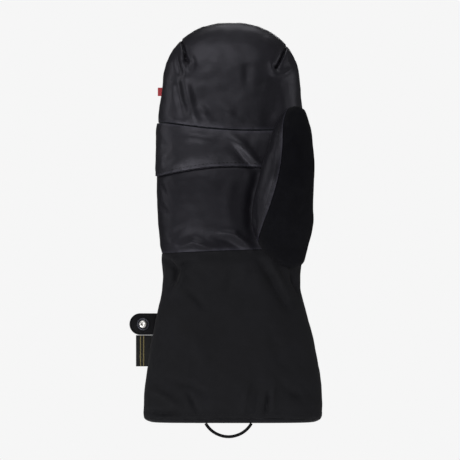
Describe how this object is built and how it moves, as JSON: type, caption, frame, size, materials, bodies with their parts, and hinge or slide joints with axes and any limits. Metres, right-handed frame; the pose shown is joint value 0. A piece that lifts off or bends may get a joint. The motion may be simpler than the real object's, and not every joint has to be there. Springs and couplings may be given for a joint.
{
  "type": "flip-top winter mitten",
  "caption": "Right-hand insulated leather mitten with a flip-back finger hood, folded-in thumb, flared nylon gauntlet, snap tab and elastic pull loop.",
  "frame": {"origin": "centre of the gauntlet's mouth, in the plane of its lower edge", "axes": "+Z towards the fingertips, -Y out of the palm, +X towards the thumb side"},
  "size_m": [0.1593, 0.0902, 0.344],
  "materials": {
    "leather": "smooth waterproofed goatskin, soft sheen",
    "suede": "short napped suede, matt",
    "nylon": "plain woven nylon, matt",
    "tricot": "thin brushed tricot",
    "wadding": "quilted synthetic wadding",
    "fleece": "short pile fleece",
    "membrane": "thin breathable film",
    "elastic": "woven elastic",
    "cord": "braided elastic cord",
    "label": "woven label with plain stripes",
    "ribbon": "woven ribbon",
    "nickel": "bright nickel plating",
    "black_metal": "black lacquered brass"
  },
  "bodies": {
    "hand": {"gauntlet_front": "nylon", "gauntlet_back": "nylon", "gauntlet_lining": "tricot", "hem_fold": "nylon", "hem_drawcord": "cord", "pull_loop": "cord", "palm_leather": "leather", "back_panel": "leather", "grip_band": "leather", "thumb_suede": "suede", "thumb_gusset": "leather", "thumb_wadding": "wadding", "thumb_lining": "fleece", "membrane": "membrane", "wadding": "wadding", "lining": "fleece", "wrist_elastic": "elastic", "knuckle_welt": "leather", "woven_label": "label"},
    "hood": {"hood_front": "leather", "hood_back": "leather", "hood_wadding": "wadding", "hood_lining": "fleece", "hood_collar": "tricot", "side_ribbon": "ribbon"},
    "snap_tab": {"tab_strap": "leather", "snap_stud": "nickel", "snap_ring": "black_metal", "snap_cap": "black_metal"}
  },
  "joints": [
    {"name": "hood_hinge", "type": "hinge", "parent": "hand", "child": "hood", "pos_m": [0, 0.0275, 0.246], "axis": [-1, 0, 0], "range_deg": [0, 155]},
    {"name": "tab_hinge", "type": "hinge", "parent": "hand", "child": "snap_tab", "pos_m": [-0.06595, 0, 0.0809], "axis": [0.1696, 0, 0.9855], "range_deg": [-80, 50]}
  ]
}
